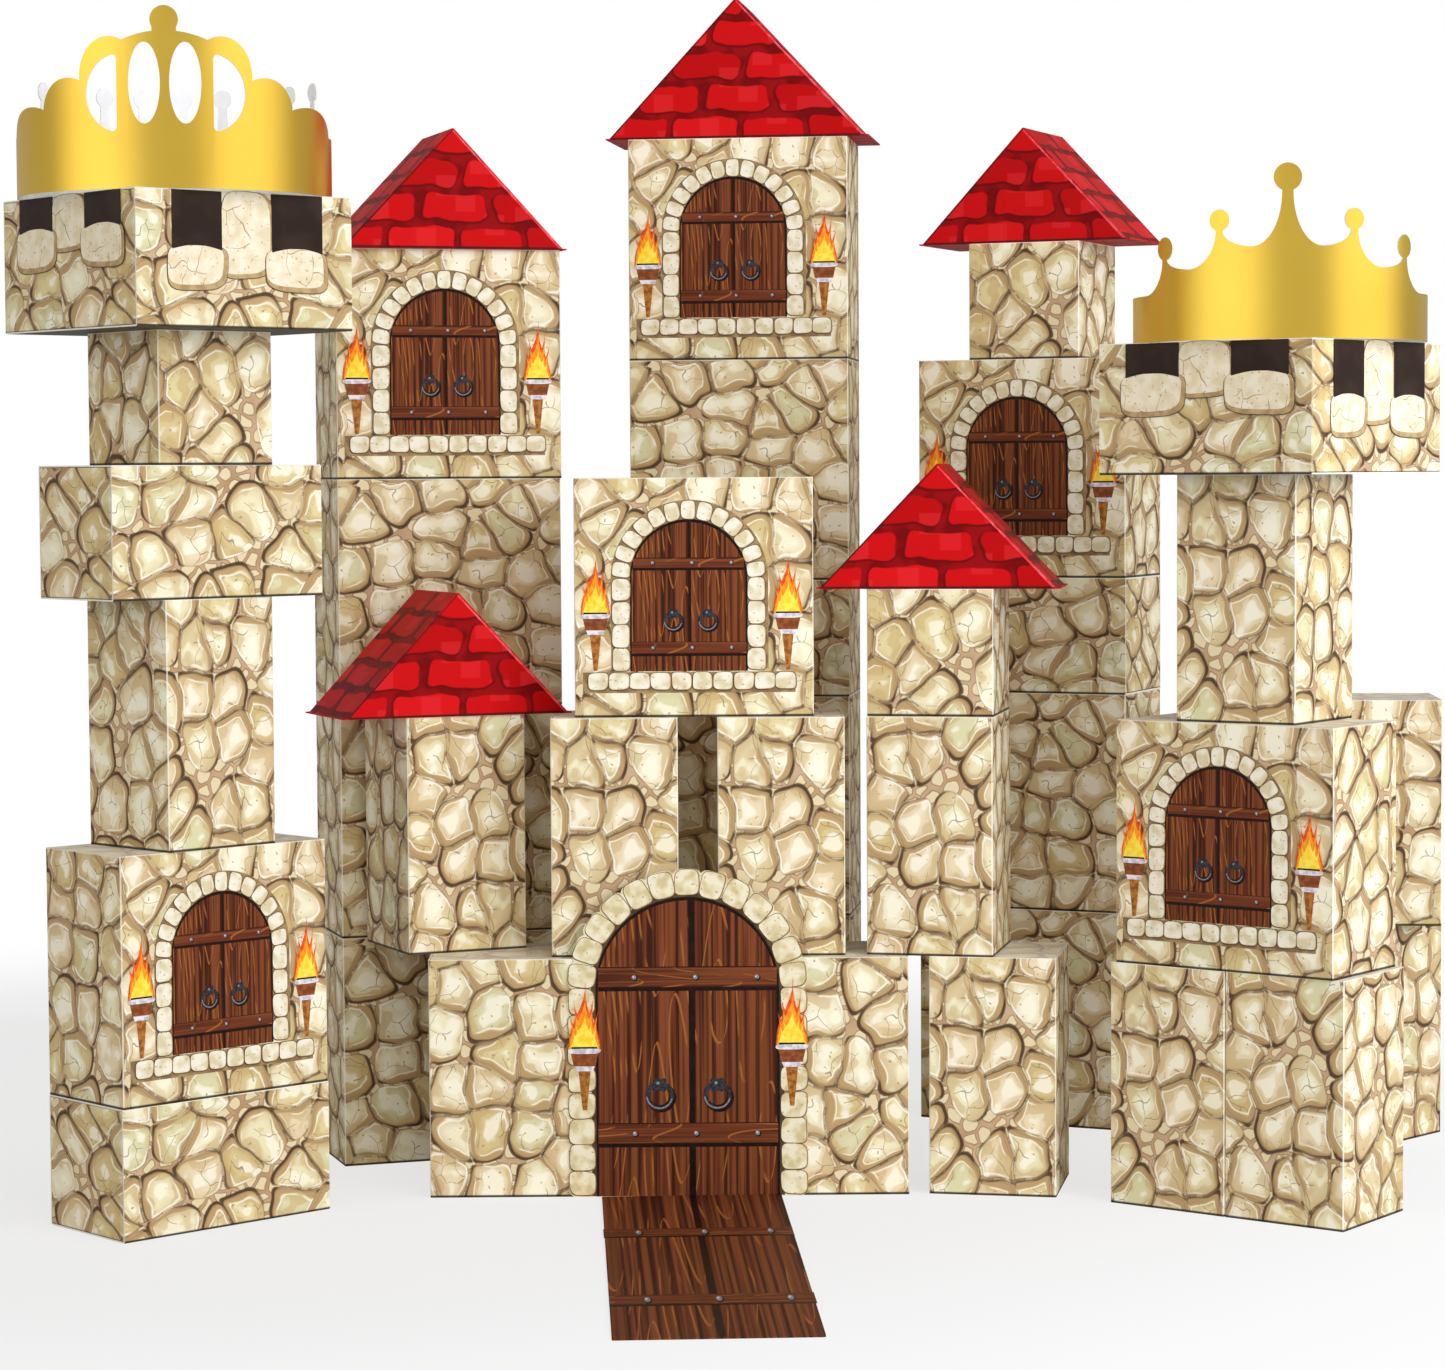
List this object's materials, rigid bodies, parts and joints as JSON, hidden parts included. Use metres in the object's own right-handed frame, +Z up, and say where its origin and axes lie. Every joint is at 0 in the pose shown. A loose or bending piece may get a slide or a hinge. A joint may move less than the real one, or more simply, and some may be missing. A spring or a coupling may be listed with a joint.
{
  "type": "cardboard play castle",
  "caption": "Toy castle stacked from folded card boxes with gabled card roofs, two card crowns, a gate and a drawbridge.",
  "frame": {"origin": "middle of the castle's outline on the ground, at the cartons' undersides", "axes": "+X to the right along the front wall, +Y away from the front towards the back towers, +Z up"},
  "size_m": [0.9852, 0.7894, 0.8253],
  "materials": {
    "stone_print_card": "satin",
    "brick_print_card": "satin",
    "wood_print_card": "satin",
    "gate_print_card": "satin",
    "gold_card": "satin"
  },
  "bodies": {
    "root": {"drawbridge": "wood_print_card", "front_wall_left": "stone_print_card", "front_wall_right": "stone_print_card", "gate": "gate_print_card", "gatehouse_door": "stone_print_card", "gatehouse_post_left": "stone_print_card", "gatehouse_post_right": "stone_print_card", "left_back_base": "stone_print_card", "left_back_door": "stone_print_card", "left_back_lower_wall": "stone_print_card", "left_back_roof": "brick_print_card", "left_back_upper_wall": "stone_print_card", "left_crown": "gold_card", "left_front_base": "stone_print_card", "left_front_battlement": "stone_print_card", "left_front_door": "stone_print_card", "left_front_ledge": "stone_print_card", "left_front_neck": "stone_print_card", "left_front_shaft": "stone_print_card", "left_turret_post": "stone_print_card", "left_turret_roof": "brick_print_card", "outer_wall_lower": "stone_print_card", "outer_wall_upper": "stone_print_card", "right_back_base": "stone_print_card", "right_back_beam": "stone_print_card", "right_back_cube": "stone_print_card", "right_back_door": "stone_print_card", "right_back_roof": "brick_print_card", "right_back_wall": "stone_print_card", "right_crown": "gold_card", "right_front_base_left": "stone_print_card", "right_front_base_right": "stone_print_card", "right_front_battlement": "stone_print_card", "right_front_door": "stone_print_card", "right_front_shaft": "stone_print_card", "right_pillar": "stone_print_card", "right_turret_cube": "stone_print_card", "right_turret_post": "stone_print_card", "right_turret_roof": "brick_print_card", "tall_tower_base": "stone_print_card", "tall_tower_beam": "stone_print_card", "tall_tower_door": "stone_print_card", "tall_tower_lower_wall": "stone_print_card", "tall_tower_roof": "brick_print_card", "tall_tower_upper_wall": "stone_print_card"}
  },
  "joints": []
}
